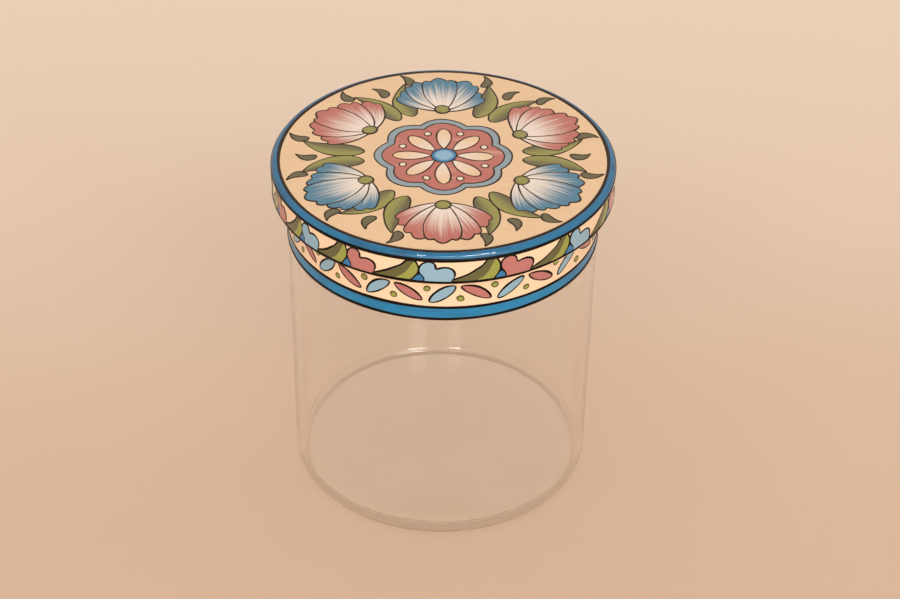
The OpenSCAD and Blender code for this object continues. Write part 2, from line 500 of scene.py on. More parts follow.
class Film:
    """Shapes of one paint, gathered into one mesh of closed, thin layers."""

    def __init__(self):
        self.points, self.faces, self.strokes, self.count = [], [], [], 0

    def keep(self, points, strokes, faces):
        """Adds a closed layer that is already placed."""
        self.points.append(points)
        self.strokes.append(strokes)
        self.faces += faces
        self.count += len(points)

    def lay(self, place, grid, level, seed=0.0, wraps=False):
        """Adds a layer of paint over a grid. Its edge dips into the ground under it."""
        brush = bpy.context.scene.jar_brush
        rows, columns = grid.shape[:2]
        rim = np.zeros((rows, columns), bool)
        rim[-1] = True
        if not wraps:
            rim[0] = rim[:, 0] = rim[:, -1] = True
        grid = by_hand(grid, brush.wobble, HAND_WAVE)
        lift = np.where(rim, -brush.sink, level * brush.layer_t)
        s, t = np.meshgrid(np.linspace(0, 1, rows), np.linspace(0, 1, columns), indexing="ij")
        stroke = np.stack([s, t, np.full_like(s, seed)], -1)
        over = self.count + np.arange(rows * columns).reshape(rows, columns)
        under = over.copy()
        under[~rim] = self.count + rows * columns + np.arange((~rim).sum())
        low = place(grid, -brush.sink)
        faces = []
        for i in range(rows - 1):
            for j in range(columns if wraps else columns - 1):
                k = (j + 1) % columns
                faces.append((over[i, j], over[i + 1, j], over[i + 1, k], over[i, k]))
                faces.append((under[i, k], under[i + 1, k], under[i + 1, j], under[i, j]))
        self.keep(
            np.vstack([place(grid, lift).reshape(-1, 3), low[~rim]]),
            np.vstack([stroke.reshape(-1, 3), stroke[~rim]]),
            faces,
        )

    def line(self, place, path, level, width=None, closed=True, seed=0.0, heavy=0.0):
        """Adds a brush line along a path. An open one tapers to its ends.

        heavy says how much harder the brush presses on the first half.
        """
        brush = bpy.context.scene.jar_brush
        width = width or brush.line_w
        path = evenly(path, LINE_STEP_SHARE * width, closed)
        path = by_hand(path, brush.wobble, HAND_WAVE)
        way = np.roll(path, -1, 0) - np.roll(path, 1, 0)
        if not closed:
            way[0], way[-1] = path[1] - path[0], path[-1] - path[-2]
        side = np.stack([-way[:, 1], way[:, 0]], -1) / np.hypot(*way.T)[:, None]
        s = np.linspace(0, 1, len(path))
        press = 1 + waves(s, PRESS_WAVES, seed)
        press = press + heavy * np.sin(tau * s - 0.3)
        if not closed:
            press = press * np.clip(np.sin(pi * s) * 2.5, 0.05, 1)
        half = (width / 2 * press)[:, None, None] * side[:, None]
        across = np.array([-1, -0.55, 0.55, 1])[None, :, None]
        lift = np.array([-brush.sink, level * brush.layer_t, level * brush.layer_t, -brush.sink])
        points = place(path[:, None] + half * across, lift)
        self.tube(points, closed)

    def tube(self, points, closed):
        """Joins rings of points, each across a line, into a closed layer."""
        rings, corners = points.shape[:2]
        at = self.count + np.arange(rings * corners).reshape(rings, corners)
        faces = []
        for i in range(rings if closed else rings - 1):
            j = (i + 1) % rings
            for k in range(corners):
                n = (k + 1) % corners
                faces.append((at[i, k], at[j, k], at[j, n], at[i, n]))
        if not closed:
            faces += [tuple(at[0]), tuple(at[-1, ::-1])]
        s, t = np.meshgrid(np.linspace(0, 1, rings), np.linspace(0, 1, corners), indexing="ij")
        strokes = np.stack([s, t, np.zeros_like(s)], -1)
        self.keep(points.reshape(-1, 3), strokes.reshape(-1, 3), faces)

    def piece(self, name, material, body, slot):
        """Makes the mesh, clean and smooth, and a piece of it that rides on its body."""
        mesh = bpy.data.meshes.new(name)
        mesh.from_pydata(np.vstack(self.points).tolist(), [], self.faces)
        stroke = mesh.attributes.new("stroke", "FLOAT_VECTOR", "POINT")
        stroke.data.foreach_set("vector", np.vstack(self.strokes).ravel())
        work = bmesh.new()
        work.from_mesh(mesh)
        bmesh.ops.remove_doubles(work, verts=work.verts, dist=SAME_POINT)
        bmesh.ops.recalc_face_normals(work, faces=work.faces)
        work.to_mesh(mesh)
        work.free()
        mesh.shade_smooth()
        mesh.materials.append(material)
        made = bpy.data.objects.new(name, mesh)
        bpy.context.scene.collection.objects.link(made)
        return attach(made, body)


# Sides of a piece that is turned round the axis
SEGMENTS = 256


def turned(name, section, material, body, slot):
    """A piece turned round the jar's axis from a closed section of (radius, height)."""
    section = np.array(section)
    angle = np.linspace(0, tau, SEGMENTS, endpoint=False)[:, None]
    r, z = section[:, 0][None], section[:, 1][None]
    points = np.stack(np.broadcast_arrays(r * np.cos(angle), r * np.sin(angle), z), -1)
    film = Film()
    film.tube(points, True)
    made = film.piece(name, material, body, slot)
    made.data.set_sharp_from_angle(angle=radians(35))
    return made


def arc(centre, radius, start, end, count=9):
    """Points along an arc, with angles from the first axis."""
    angle = np.linspace(start, end, count)
    return [(centre[0] + radius * cos(a), centre[1] + radius * sin(a)) for a in angle]


# Operators


# Each lamp's azimuth from the front and its elevation in degrees, its distance from the lid's
# front edge, its width, height and power in watts, and the kinds of light that it gives. The
# soft boxes light the jar. The strip lamps only draw the streaks of light on the rim, and the
# tall ones only the glints deep in the glass
LAMPS = (
    ("soft_box", 5, 26, 1.8, 2.6, 1.5, 11.0, ("diffuse", "glossy")),
    ("soft_fill", 5, 26, 1.9, 2.74, 1.58, 17.8, ("diffuse",)),
    ("strip_left", -17.6, 54.5, 1.3, 0.1, 0.06, 2.4, ("glossy",)),
    ("strip_middle", 10, 54.5, 1.3, 0.45, 0.06, 2.2, ("glossy",)),
    ("strip_right", 31, 54.5, 1.3, 0.39, 0.06, 8.0, ("glossy",)),
    ("glint_right", 21.5, 37.3, 1.3, 0.3, 1.1, 28.0, ("transmission",)),
    ("glint_left", -12, 37.3, 1.3, 0.2, 1.1, 7.0, ("transmission",)),
)
# Between these places along the Y axis, in metres, the floor changes to its paler colour: painted light,
# for the brighter floor behind the jar. Its clouds are this many to a metre, and move the change by this
# much
FLOOR_CHANGE = (-0.05, 0.37)
FLOOR_CLOUDS = 6.0
FLOOR_UNEVEN = 0.1
# The floor lies this far under the jar's foot, so that glass and floor never coincide
FLOOR_DROP = 0.05 * MM
# The room's light goes from that of the horizon to that of the ceiling between these heights
ROOM_CHANGE = (0.1, 0.6)
HORIZON_LIGHT, CEILING_LIGHT = 1.25, 0.6
CEILING_WHITE = (1.0, 0.99, 0.98)


class JAR_OT_stage(bpy.types.Operator):
    """Makes the plain pale floor, the soft lamps and the camera"""

    bl_idname = "jar.stage"
    bl_label = "Stage"

    def execute(self, context):
        sizes, colours = context.scene.jar_stage, context.scene.jar_colours
        self.floor(sizes, colours)
        self.lamps(context)
        self.room(context, colours)
        self.camera(context, sizes)
        context.scene.view_settings.view_transform = "Standard"
        return {"FINISHED"}

    def floor(self, sizes, colours):
        """A flat floor just under the jar's foot."""
        half, z = sizes.floor_w / 2, -FLOOR_DROP
        mesh = bpy.data.meshes.new("floor")
        corners = [(-half, -half, z), (half, -half, z), (half, half, z), (-half, half, z)]
        mesh.from_pydata(corners, [], [(0, 1, 2, 3)])
        mesh.materials.append(self.paper(colours))
        made = bpy.data.objects.new("floor", mesh)
        bpy.context.scene.collection.objects.link(made)

    def paper(self, colours):
        """Matte uncoated paper, rolled flat, with no shine, painted paler towards the back as painted
        light, along a change that faint clouds make uneven.
        """
        material, tree = blank("MattePaperFloor")
        place = add(tree, "TexCoord").outputs["Object"]
        cloud = add(tree, "TexNoise", {"Vector": place, "Scale": FLOOR_CLOUDS, "Detail": 2.0})
        back = add(tree, "SeparateXYZ", {0: place}).outputs["Y"]
        painted_light_change = add(tree, "Math", {0: cloud, 1: FLOOR_UNEVEN, 2: back}, operation="MULTIPLY_ADD")
        # Painted light: paler towards the back of the floor
        tone = two_tone(tree, painted_light_change, *FLOOR_CHANGE, colours.floor, colours.far_floor_painted_light)
        look = {"Base Color": tone, "Roughness": 0.9, "Specular IOR Level": 0.2}
        add(tree, "OutputMaterial", {"Surface": add(tree, "BsdfPrincipled", look)})
        return material

    def lamps(self, context):
        """Puts up the lamps, round the lid's front edge."""
        front = Vector((0, -LID_R, LID_TOP))
        for name, azimuth, elevation, far, wide, high, power, kinds in LAMPS:
            data = bpy.data.lights.new(name, "AREA")
            data.shape = "RECTANGLE"
            data.size, data.size_y = wide, high
            data.energy = power
            lamp = bpy.data.objects.new(name, data)
            around, up = radians(azimuth), radians(elevation)
            way = Vector((sin(around) * cos(up), -cos(around) * cos(up), sin(up)))
            lamp.location = front + way * far
            lamp.rotation_euler = way.to_track_quat("Z", "Y").to_euler()
            for kind in ("diffuse", "glossy", "transmission"):
                setattr(lamp, f"visible_{kind}", kind in kinds)
            context.scene.collection.objects.link(lamp)

    def room(self, context, colours):
        """A pale room: white overhead, and the floor's own colour down at the horizon."""
        world = bpy.data.worlds.new("PaleRoom")
        world.use_nodes = True
        tree = world.node_tree
        tree.nodes.clear()
        way = add(tree, "TexCoord").outputs["Generated"]
        height = add(tree, "SeparateXYZ", {0: way}).outputs["Z"]
        horizon = toned(colours.floor, 0.85)
        colour = two_tone(tree, height, *ROOM_CHANGE, horizon, CEILING_WHITE)
        span = {"Value": height, "To Min": HORIZON_LIGHT, "To Max": CEILING_LIGHT}
        light = add(tree, "MapRange", span)
        background = add(tree, "Background", {"Color": colour, "Strength": light})
        add(tree, "OutputWorld", {"Surface": background})
        context.scene.world = world

    def camera(self, context, sizes):
        """The camera at the photograph's viewing angle."""
        data = bpy.data.cameras.new("camera")
        data.lens, data.sensor_width = sizes.lens, sizes.sensor
        data.clip_start = 0.01
        made = bpy.data.objects.new("camera", data)
        turn = (
            Matrix.Rotation(-sizes.camera_yaw, 4, "Z")
            @ Matrix.Rotation(pi / 2 - sizes.camera_down, 4, "X")
            @ Matrix.Rotation(sizes.camera_roll, 4, "Z")
        )
        made.matrix_world = Matrix.Translation((0, -sizes.camera_back, sizes.camera_up)) @ turn
        context.scene.collection.objects.link(made)
        context.scene.camera = made


# The ring round the glass foot that use has dulled, which is also darkened there as a painted shade: its
# radius, width and height
WORN_R = GLASS_R - 1.9 * MM
WORN_W = 4.2 * MM
WORN_H = 7 * MM
# What is added to the roughness along that ring, and what the whole floor of the jar has
FOOT_ROUGHNESS = 0.13
FLOOR_ROUGHNESS = 0.06
GLASS_IOR = 1.473
# The slow ripple of blown glass: its drawn-out scale, per metre, and its height
RIPPLE_RUN = (1 / (14 * MM), 1 / (14 * MM), 1 / (40 * MM))
RIPPLE_H = 0.1 * MM
RIPPLE_STRENGTH = 0.12
# Light that has met more surfaces than this is trapped in the floor of the jar
TRAPPED_DEPTH = 5.5
# Tints of the glass: clear; a painted shade along the ring round the foot, which draws it darker grey; a
# pane that lamps shine through; a darker pane along that ring, which leaves a ring of shade on the floor;
# and what is left of light that is trapped, tinted darker as a painted shade
CLEAR_TINT = (0.99, 0.995, 0.992)
FOOT_PAINTED_SHADE_TINT = (0.66, 0.65, 0.6)
PANE_TINT = (0.975, 0.98, 0.975)
SHADE_TINT = (0.85, 0.84, 0.82)
TRAPPED_SHADE_TINT = (0.835, 0.735, 0.645)


class JAR_OT_glass(bpy.types.Operator):
    """Gives the jar its clear borosilicate glass"""

    bl_idname = "jar.glass"
    bl_label = "Glass"

    def execute(self, context):
        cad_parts["glass_body"].data.materials[0] = self.material()
        return {"FINISHED"}

    def material(self):
        """Borosilicate glass, blown and fire polished: clear, smooth, with a faint slow ripple.

        Use has dulled its foot a little, and a painted shade darkens it there to a soft grey ring
        round the base. Lamps shine through it as through a clear pane, so the floor behind it stays
        lit; along that ring the pane is darker and leaves a ring of shade on the floor.
        """
        material, tree = blank("BorosilicateGlass")
        place = add(tree, "TexCoord").outputs["Object"]
        low = self.low(tree, place)
        wear_and_shade = self.wear_and_shade(tree, place, low)
        glass = self.glass(tree, place, low, wear_and_shade)
        ray = add(tree, "LightPath").outputs
        depth = {0: ray["Ray Depth"], 1: TRAPPED_DEPTH}
        trapped = add(tree, "Math", depth, operation="GREATER_THAN")
        # Light that stays in the glass too long goes on straight, tinted a darker brown: a painted shade
        # that draws the dark crescent at the foot
        dim = add(tree, "BsdfTransparent", {"Color": rgba(TRAPPED_SHADE_TINT)})
        seen = add(tree, "MixShader", {0: trapped, 1: glass, 2: dim})
        lamp_light = {0: ray["Is Shadow Ray"], 1: ray["Is Diffuse Ray"]}
        lit = add(tree, "Math", lamp_light, operation="MAXIMUM")
        tint = two_tone(tree, wear_and_shade, 0, 1, PANE_TINT, SHADE_TINT)
        pane = add(tree, "BsdfTransparent", {"Color": tint})
        both = add(tree, "MixShader", {0: lit, 1: seen, 2: pane})
        add(tree, "OutputMaterial", {"Surface": both})
        return material

    def glass(self, tree, place, low, wear_and_shade):
        """The glass itself, which bends and mirrors what lies behind and before it."""
        ripple = streaks(tree, place, RIPPLE_RUN)
        bump = add(tree, "Bump", {"Height": ripple, "Strength": RIPPLE_STRENGTH, "Distance": RIPPLE_H})
        dull = add(tree, "Math", {0: low, 1: FLOOR_ROUGHNESS}, operation="MULTIPLY")
        rough = add(tree, "Math", {0: wear_and_shade, 1: FOOT_ROUGHNESS, 2: dull}, operation="MULTIPLY_ADD")
        look = {
            # Along the ring round the foot the colour is a painted shade, a darker grey
            "Base Color": two_tone(tree, wear_and_shade, 0, 1, CLEAR_TINT, FOOT_PAINTED_SHADE_TINT),
            "Roughness": rough,
            "IOR": GLASS_IOR,
            "Transmission Weight": 1.0,
            "Normal": bump,
        }
        return add(tree, "BsdfPrincipled", look)

    def low(self, tree, place):
        """1 at the foot, and 0 from WORN_H up."""
        height = add(tree, "SeparateXYZ", {0: place}).outputs["Z"]
        span = {"Value": height, "From Max": WORN_H, "To Min": 1, "To Max": 0}
        return add(tree, "MapRange", span, interpolation_type="SMOOTHSTEP")

    def wear_and_shade(self, tree, place, low):
        """1 along a ring round the foot, and 0 elsewhere: where the glass is dull from use, and where it
        gets its painted shade.
        """
        flat = add(tree, "VectorMath", {0: place, 1: (1, 1, 0)}, operation="MULTIPLY")
        radius = add(tree, "VectorMath", {0: flat}, operation="LENGTH").outputs["Value"]
        aside = add(tree, "Math", {0: radius, 1: WORN_R}, operation="SUBTRACT")
        off = add(tree, "Math", {0: aside}, operation="ABSOLUTE")
        span = {"Value": off, "From Max": WORN_W / 2, "To Min": 1, "To Max": 0}
        near = add(tree, "MapRange", span, interpolation_type="SMOOTHSTEP")
        return add(tree, "Math", {0: near, 1: low}, operation="MULTIPLY")


# Beech: the drawn-out scale of its grain and of its flecks, per metre, how dark the flecks are
# next to the grain, and how deep the turned surface is there
GRAIN_RUN = (1 / (60 * MM), 1 / (1.6 * MM), 1 / (3 * MM))
FLECK_RUN = (1 / (3 * MM), 1 / (0.35 * MM), 1 / (0.35 * MM))
FLECK_SHARE = 0.85
FLECK_H = 0.05 * MM


class JAR_OT_lid_wood(bpy.types.Operator):
    """Gives the lid's disc and plug their bare turned wood"""

    bl_idname = "jar.lid_wood"
    bl_label = "Lid wood"

    def execute(self, context):
        wood = self.material(context.scene.jar_colours)
        for node in ("lid_disc", "lid_plug"):
            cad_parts[node].data.materials[0] = wood
        return {"FINISHED"}

    def material(self, colours):
        """Beech, cut from a board, turned and oiled: straight grain with short dark flecks."""
        material, tree = blank("TurnedBeech")
        place = add(tree, "TexCoord").outputs["Object"]
        grain = streaks(tree, place, GRAIN_RUN, 4.0)
        fleck = streaks(tree, place, FLECK_RUN, 1.0)
        flecks = add(tree, "Math", {0: fleck, 1: FLECK_SHARE}, operation="MULTIPLY")
        both = add(tree, "Math", {0: grain, 1: flecks}, operation="MAXIMUM")
        bump = add(tree, "Bump", {"Height": fleck, "Strength": 0.3, "Distance": FLECK_H})
        tone = two_tone(tree, both, 0.4, 0.66, colours.wood, colours.wood_dark)
        look = {"Base Color": tone, "Roughness": 0.55, "Normal": bump}
        add(tree, "OutputMaterial", {"Surface": add(tree, "BsdfPrincipled", look)})
        return material


# Silicone rubber: the size of the clouds in its bloom, and how deep light gets into it
BLOOM_SIZE = 2 * MM
SILICONE_DEPTH = 1.5 * MM
SILICONE_IOR = 1.41
SILICONE_ROUGHNESS = (0.4, 0.6)


class JAR_OT_seal(bpy.types.Operator):
    """Gives the seal ring its milky silicone"""

    bl_idname = "jar.seal"
    bl_label = "Seal"

    def execute(self, context):
        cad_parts["seal_ring"].data.materials[0] = self.material(context.scene.jar_colours)
        return {"FINISHED"}

    def material(self, colours):
        """Moulded silicone rubber: milky, so that light softens its ribs, with a dull bloom."""
        material, tree = blank("MilkySilicone")
        place = add(tree, "TexCoord").outputs["Object"]
        low, high = SILICONE_ROUGHNESS
        bloom = add(tree, "TexNoise", {"Vector": place, "Scale": 1 / BLOOM_SIZE, "Detail": 3.0})
        rough = add(tree, "MapRange", {"Value": bloom, "To Min": low, "To Max": high})
        deeper = toned(colours.silicone, 0.93)
        look = {
            "Base Color": two_tone(tree, bloom, 0, 1, colours.silicone, deeper),
            "Roughness": rough,
            "IOR": SILICONE_IOR,
            "Subsurface Weight": 0.4,
            "Subsurface Radius": (1.0, 0.9, 0.8),
            "Subsurface Scale": SILICONE_DEPTH,
        }
        add(tree, "OutputMaterial", {"Surface": add(tree, "BsdfPrincipled", look)})
        return material


# Streaks of a coat, per metre: brushed along the wall, and brushed straight over the top
ROUND_RUN = (1 / (22 * MM), 1 / (22 * MM), 1 / (0.6 * MM))
TOP_RUN = (1 / (30 * MM), 1 / (1.4 * MM), 1 / (30 * MM))
# How far the blue rim runs straight down the lid's side, below its rounded edge
RIM_STRAIGHT = 0.3 * MM
# How far a coat on the glass bites into it, so that no two faces coincide
COAT_BITE = 0.02 * MM


class JAR_OT_coats(bpy.types.Operator):
    """Lays the cream grounds and the blue rim and stripe"""

    bl_idname = "jar.coats"
    bl_label = "Coats"

    def execute(self, context):
        colours, self.room = context.scene.jar_colours, context.scene.jar_brush.room
        cream, pale, blue = colours.cream, colours.pale_cream, colours.blue
        top = coat_paint("AcrylicCreamTop", cream, toned(cream, 0.95), TOP_RUN)
        side = coat_paint("AcrylicCreamSide", pale, toned(pale, 0.95), ROUND_RUN)
        rim = coat_paint("AcrylicBlueRim", blue, colours.deep_blue, ROUND_RUN)
        stripe = coat_paint("AcrylicBlueStripe", colours.stripe_blue, blue, ROUND_RUN, shine=0.3)
        ground_section, stripe_section = self.band(BAND_TOP, STRIPE_TOP), self.band(STRIPE_TOP, STRIPE_LOW)
        for node, name, section, paint, body, slot in (
            ("lid_top_ground", "lid_top_coat", self.lid_top(), top, "lid", "cream_paint"),
            ("lid_rim_stripe", "lid_rim_coat", self.lid_rim(), rim, "lid", "blue_paint"),
            ("lid_side_ground", "lid_side_coat", self.lid_side(), side, "lid", "cream_paint"),
            ("mouth_ground", "mouth_ground_coat", ground_section, side, "jar", "cream_paint"),
            ("mouth_stripe", "mouth_stripe_coat", stripe_section, stripe, "jar", "blue_paint"),
        ):
            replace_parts(turned(name, section, paint, body, slot), node)
        return {"FINISHED"}

    def lid_top(self):
        """Section of the flat cream ground inside the blue rim."""
        top, low = LID_TOP - self.room, LID_TOP - COAT_T
        return [(0, top), (RIM_R, top), (RIM_R, low), (0, low)]

    def lid_rim(self):
        """Section of the blue coat over the lid's rounded upper edge."""
        top, face = LID_TOP - self.room, LID_R - self.room
        edge_r = LID_TOP - RIM_LOW - RIM_STRAIGHT
        middle = (face - edge_r, top - edge_r)
        outside = arc(middle, edge_r, pi / 2, 0)
        inside = arc(middle, edge_r - COAT_T + self.room, 0, pi / 2)
        lower_edge = [(face, RIM_LOW), (WOOD_R, RIM_LOW)]
        return [(RIM_R, top), *outside, *lower_edge, *inside, (RIM_R, LID_TOP - COAT_T)]

    def lid_side(self):
        """Section of the cream ground round the lid's side, with its lower edge eased."""
        face = LID_R - self.room
        eased_edge = [(face, LID_LOW + EDGE_EASE), (face - EDGE_EASE, LID_LOW)]
        return [(WOOD_R, RIM_LOW), (face, RIM_LOW), *eased_edge, (WOOD_R, LID_LOW)]

    def band(self, high, low):
        """Section of a coat round the glass mouth, with both its edges eased."""
        back, face = GLASS_R - COAT_BITE, BAND_R - self.room
        upper = [(face - EDGE_EASE, high), (face, high - EDGE_EASE)]
        lower = [(face, low + EDGE_EASE), (face - EDGE_EASE, low)]
        return [(back, high), *upper, *lower, (back, low)]


# The ring lines are painted last, over every other layer
RING_LEVEL = 4.1
# How unevenly the brush presses round a ring, and how far it strays, in waves
RING_PRESS_WAVES = ((3, 0.10, 1), (11, 0.07, 2))
RING_STRAY_WAVES = ((2, 0.5, 3), (7, 0.3, 1))
# How far the line on the top lies inside the blue rim's edge
FLAT_RING_IN = 0.4 * MM


class JAR_OT_ring_lines(bpy.types.Operator):
    """Draws the dark lines that run right round the lid and the mouth"""

    bl_idname = "jar.ring_lines"
    bl_label = "Ring lines"

    def execute(self, context):
        brush, colours = context.scene.jar_brush, context.scene.jar_colours
        ink, brown = ink_paint("InkRings", colours.ink), ink_paint("InkTopRing", colours.brown_ink)
        top, lid, jar = Film(), Film(), Film()
        self.flat_ring(brush, top, RIM_R - FLAT_RING_IN)
        half = brush.ring_w / 2
        self.wall_ring(brush, lid, LID_R, RIM_LOW, 0.3, LID_LOW)
        self.wall_ring(brush, lid, LID_R, LID_LOW + half, 1.1, LID_LOW)
        self.wall_ring(brush, jar, BAND_R, STRIPE_TOP, 2.0, STRIPE_LOW)
        self.wall_ring(brush, jar, BAND_R, STRIPE_LOW + half, 2.9, STRIPE_LOW)
        top.piece("lid_top_ring_line", brown, "lid", "outline_paint")
        lid.piece("lid_ring_lines", ink, "lid", "outline_paint")
        jar.piece("mouth_ring_lines", ink, "jar", "outline_paint")
        return {"FINISHED"}

    def ring(self, brush, film, seed, section):
        """A closed line round the axis. section gives radius and height across and over it."""
        angle = np.linspace(0, tau, 2 * SEGMENTS, endpoint=False)
        press = 1 + waves(angle, RING_PRESS_WAVES, seed)
        stray = waves(angle, RING_STRAY_WAVES, seed)
        high = RING_LEVEL * brush.layer_t
        lift = (-brush.sink, high, high, -brush.sink)
        across = np.array([-1, -0.6, 0.6, 1]) * brush.ring_w / 2
        at = press[:, None] * across + (stray * brush.wobble)[:, None]
        r, z = section(at, np.array(lift) - brush.room)
        turn = angle[:, None]
        points = np.stack(np.broadcast_arrays(r * np.cos(turn), r * np.sin(turn), z), -1)
        film.tube(points, True)

    def flat_ring(self, brush, film, radius):
        """A line on the lid's top."""
        self.ring(brush, film, 0.0, lambda at, lift: (radius + at, LID_TOP + lift))

    def wall_ring(self, brush, film, radius, z, seed, edge):
        """A line round a wall, which never runs over the paint's lower edge."""
        lowest = edge + brush.sink
        self.ring(brush, film, seed, lambda at, lift: (radius + lift, np.maximum(z + at, lowest)))


class Border:
    """A border that runs round a wall in repeats. Motifs are placed on its sheet, laid flat."""

    def set_out(self, count, radius, low, high, start, drift):
        """Sizes the sheet, and gives it its place on the wall from low up to high."""
        self.width, self.height, self.start = tau * radius / count, high - low, start
        self.place = on_round(radius, low, drift)

    def spot(self, k, shares):
        """Places on the sheet, from their shares of repeat k."""
        start = (k - self.start) * self.width
        return np.array(shares) * (self.width, self.height) + (start, 0)


# The lid's side border. Places are shares of one repeat's width and of the border's height
LEAF_BACK_SHARES = (
    (-0.02, 0.1), (0.13, 0.26), (0.24, 0.41), (0.34, 0.6), (0.42, 0.77), (0.535, 1.22),
)
LEAF_FRONT_SHARES = (
    (-0.02, 0.1), (0.2, 0.06), (0.46, 0.06), (0.565, 0.18),
    (0.62, 0.43), (0.63, 0.65), (0.605, 0.85), (0.535, 1.22),
)
# The leaves are cut off here, under the line along the rim
LEAF_TOP_SHARE = 0.97
LIGHT_BACK_SHARES = (
    (0.29, 0.07), (0.385, 0.25), (0.44, 0.4), (0.485, 0.56), (0.52, 0.74), (0.568, 0.94),
)
LIGHT_FRONT_SHARES = (
    (0.29, 0.07), (0.46, 0.07), (0.56, 0.18), (0.615, 0.43),
    (0.625, 0.65), (0.605, 0.82), (0.568, 0.94),
)
BUD_SHARES = ((0.535, 0.06), (0.575, 0.25), (0.635, 0.43), (0.7, 0.36), (0.71, 0.06))
BUD_MIDDLE_SHARES = (0.64, 0.15)
LOBE_LEFT_SHARES = (
    (0.7, 0.06), (0.69, 0.3), (0.645, 0.46), (0.632, 0.64), (0.65, 0.8),
    (0.69, 0.91), (0.755, 0.95), (0.815, 0.87), (0.838, 0.63),
)
LOBE_RIGHT_SHARES = (
    (0.838, 0.63), (0.905, 0.68), (0.965, 0.69), (1.03, 0.61),
    (1.06, 0.45), (1.055, 0.28), (1.02, 0.06),
)
BLOSSOM_MIDDLE_SHARES = (0.84, 0.34)
# How many layers of paint each shape lies above the ground. An outline lies a little over the
# shape that it runs round, and a leaf's or a petal's over all that is painted on it too
FIRST_LEVEL, LIGHT_LEVEL, FIRST_LINE_LEVEL, BUD_LEVEL, BLOSSOM_LEVEL = 1, 1.4, 1.8, 2.2, 3
OUTLINE_OVER = 0.4
# Where the first repeat starts, as a share of a repeat from the jar's front
SIDE_START_SHARE = 0.928
SIDE_DRIFT = (0.2, 0.08, 0.027)


class JAR_OT_side_border(Border, bpy.types.Operator):
    """Paints the leaves, buds and blossoms round the lid's side"""

    bl_idname = "jar.side_border"
    bl_label = "Lid border"

    def execute(self, context):
        self.colours, count = context.scene.jar_colours, context.scene.jar_borders.side_repeats
        self.set_out(count, LID_R, LID_LOW, RIM_LOW, SIDE_START_SHARE, SIDE_DRIFT)
        self.leaves, self.lights, self.buds, self.lines = Film(), Film(), Film(), Film()
        self.blossoms = {"pink": Film(), "blue": Film()}
        for k in range(count):
            self.leaf(k)
            self.bud(k)
            self.blossom(k)
        self.pieces()
        return {"FINISHED"}

    def leaf(self, k):
        """A dark leaf with a light front, cut off under the line along the rim."""
        back, front = self.spot(k, LEAF_BACK_SHARES), self.spot(k, LEAF_FRONT_SHARES)
        leaf = blade(through(back, 30), through(front, 30))
        leaf[..., 1] = np.minimum(leaf[..., 1], LEAF_TOP_SHARE * self.height)
        self.leaves.lay(self.place, leaf, FIRST_LEVEL, k)
        self.lines.line(self.place, edge_of(leaf), FIRST_LINE_LEVEL, seed=k)
        back, front = self.spot(k, LIGHT_BACK_SHARES), self.spot(k, LIGHT_FRONT_SHARES)
        self.lights.lay(self.place, blade(through(back), through(front)), LIGHT_LEVEL, k)

    def bud(self, k):
        """A blue bud between the leaf and the blossom."""
        bud = through(self.spot(k, BUD_SHARES))
        shape = spread(self.spot(k, BUD_MIDDLE_SHARES), self.round(bud), 5)
        self.buds.lay(self.place, shape, BUD_LEVEL, k, wraps=True)
        self.lines.line(self.place, bud, BUD_LEVEL + OUTLINE_OVER, closed=False, seed=k + 0.6)

    def blossom(self, k):
        """A blossom of two lobes, pink and light blue by turns."""
        left, right = self.spot(k, LOBE_LEFT_SHARES), self.spot(k, LOBE_RIGHT_SHARES)
        bloom = np.vstack([through(left)[:-1], through(right)])
        shape = spread(self.spot(k, BLOSSOM_MIDDLE_SHARES), self.round(bloom))
        film = self.blossoms["pink" if k % 2 else "blue"]
        film.lay(self.place, shape, BLOSSOM_LEVEL, k, wraps=True)
        level = BLOSSOM_LEVEL + OUTLINE_OVER
        self.lines.line(self.place, bloom, level, closed=False, seed=k + 0.3)

    def pieces(self):
        """Makes the border's pieces, each of its own paint."""
        colours = self.colours
        olive, green = colours.olive, colours.leaf_green
        light = motif_paint("AcrylicLeafGreen", olive, green, (0, 1), 0.0, 0.15, (2, 4), feather=0.2)
        bud = motif_paint("AcrylicBudBlue", colours.bud_blue, colours.deep_blue, (1, 0), high=1.2)
        dark = one_paint("AcrylicOlive", olive, 1.25, (2, 4))
        pink = one_paint("AcrylicPink", colours.border_pink, 0.8, (1, 6))
        blue = one_paint("AcrylicLightBlue", colours.light_blue, 0.85, (1, 5))
        ink = ink_paint("InkSide", colours.ink)
        self.leaves.piece("lid_side_leaves", dark, "lid", "olive_paint")
        self.lights.piece("lid_side_leaf_lights", light, "lid", "olive_paint")
        self.buds.piece("lid_side_buds", bud, "lid", "blue_paint")
        self.blossoms["pink"].piece("lid_side_pink_blossoms", pink, "lid", "pink_paint")
        self.blossoms["blue"].piece("lid_side_blue_blossoms", blue, "lid", "light_blue_paint")
        self.lines.piece("lid_side_outlines", ink, "lid", "outline_paint")

    def round(self, curve):
        """Closes a curve along the border's lower edge, with points along the closing run."""
        t = np.linspace(0, 1, 10)[1:-1, None]
        return np.vstack([curve, curve[-1] * (1 - t) + curve[0] * t])


# The mouth border. Places are shares of one repeat's width and of the ground's height
PINK_PETAL_SHARES = ((-0.008, 0.69), (0.42, 0.25))
BLUE_PETAL_SHARES = ((0.525, 0.19), (0.905, 0.7))
DOT_SHARES = ((0.48, 0.64), (0.966, 0.28))
MOUTH_START_SHARE = 0.705
MOUTH_DRIFT = (0.14, 0.06, 0.0)
# The dots have a finer outline than the petals
DOT_LINE_SHARE = 0.6
# How far the petals bow, by colour, and by how much more or less from one repeat to the next
PINK_BOW, BLUE_BOW, BOW_CHANGE = 0.2 * MM, 0.1 * MM, 0.3 * MM
# How pointed the petals' ends are, by colour: 0.5 is round and 1 is sharp
PINK_END, BLUE_END = 0.72, 0.62
# How much harder the brush presses on the first half of a petal's and of a dot's outline
PETAL_HEAVY, DOT_HEAVY = 0.25, 0.3


